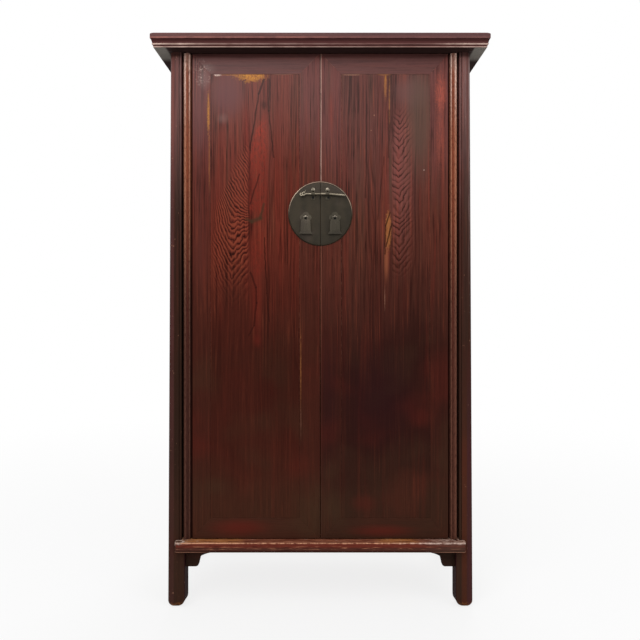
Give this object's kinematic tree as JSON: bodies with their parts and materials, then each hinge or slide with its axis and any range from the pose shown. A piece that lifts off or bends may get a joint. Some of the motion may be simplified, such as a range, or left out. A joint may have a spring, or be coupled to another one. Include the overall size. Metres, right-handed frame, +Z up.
{
  "type": "chinese armoire",
  "caption": "Tall tapered Chinese armoire: flush framed doors on wooden pivot posts, shelves inside, a round split face plate with hanging pulls and a sliding lock pin.",
  "frame": {"origin": "on the floor, below the centre of the top", "axes": "+Z up, the doors face -Y, +X to the right of a person who looks at the doors"},
  "size_m": [1.07, 0.6, 1.83],
  "materials": {
    "lacquered_elm": "worn satin lacquer",
    "bare_elm": "bare, aged",
    "dark_bronze": "dark patina",
    "polished_bronze": "rubbed bright"
  },
  "bodies": {
    "case": {"back_bottom_rail": "bare_elm", "back_middle_rail": "bare_elm", "floor_battens": "bare_elm", "floor_panel": "bare_elm", "front_apron": "lacquered_elm", "front_sill": "lacquered_elm", "left_apron": "lacquered_elm", "left_back_leg": "lacquered_elm", "left_bottom_rail": "lacquered_elm", "left_front_leg": "lacquered_elm", "left_side_battens": "bare_elm", "left_side_panel": "lacquered_elm", "lower_back_panel": "bare_elm", "lower_shelf": "bare_elm", "lower_shelf_bearers": "bare_elm", "right_apron": "lacquered_elm", "right_back_leg": "lacquered_elm", "right_bottom_rail": "lacquered_elm", "right_front_leg": "lacquered_elm", "right_side_battens": "bare_elm", "right_side_panel": "lacquered_elm", "top_back_rail": "lacquered_elm", "top_front_rail": "lacquered_elm", "top_left_batten": "bare_elm", "top_left_rail": "lacquered_elm", "top_panel": "lacquered_elm", "top_right_batten": "bare_elm", "top_right_rail": "lacquered_elm", "upper_back_panel": "bare_elm", "upper_shelf": "bare_elm", "upper_shelf_bearers": "bare_elm"},
    "left_door": {"left_door_battens": "bare_elm", "left_door_bottom_rail": "lacquered_elm", "left_door_face_plate": "dark_bronze", "left_door_hinge_stile": "lacquered_elm", "left_door_meeting_stile": "lacquered_elm", "left_door_panel": "lacquered_elm", "left_door_top_rail": "lacquered_elm", "left_lock_staple": "dark_bronze", "left_pull_staple": "dark_bronze"},
    "right_door": {"right_door_battens": "bare_elm", "right_door_bottom_rail": "lacquered_elm", "right_door_face_plate": "dark_bronze", "right_door_hinge_stile": "lacquered_elm", "right_door_meeting_stile": "lacquered_elm", "right_door_panel": "lacquered_elm", "right_door_top_rail": "lacquered_elm", "right_lock_keeper": "polished_bronze", "right_pull_staple": "dark_bronze"},
    "left_pull": {"left_pull": "dark_bronze"},
    "right_pull": {"right_pull": "dark_bronze"},
    "lock_pin": {"lock_pin": "polished_bronze"}
  },
  "joints": [
    {"name": "left_door_swing", "type": "hinge", "parent": "case", "child": "left_door", "pos_m": [-0.43, -0.2355, 0.2], "axis": [0, 0, -1], "range_deg": [0, 110]},
    {"name": "right_door_swing", "type": "hinge", "parent": "case", "child": "right_door", "pos_m": [0.43, -0.2355, 0.2], "axis": [0, 0, 1], "range_deg": [0, 110]},
    {"name": "left_pull_swing", "type": "hinge", "parent": "left_door", "child": "left_pull", "pos_m": [-0.047, -0.2521, 1.256], "axis": [-1, 0, 0], "range_deg": [0, 80]},
    {"name": "right_pull_swing", "type": "hinge", "parent": "right_door", "child": "right_pull", "pos_m": [0.047, -0.2521, 1.256], "axis": [-1, 0, 0], "range_deg": [0, 80]},
    {"name": "lock_pin_slide", "type": "slide", "parent": "left_door", "child": "lock_pin", "axis": [1, 0, 0], "range_m": [0, 0.018]}
  ]
}
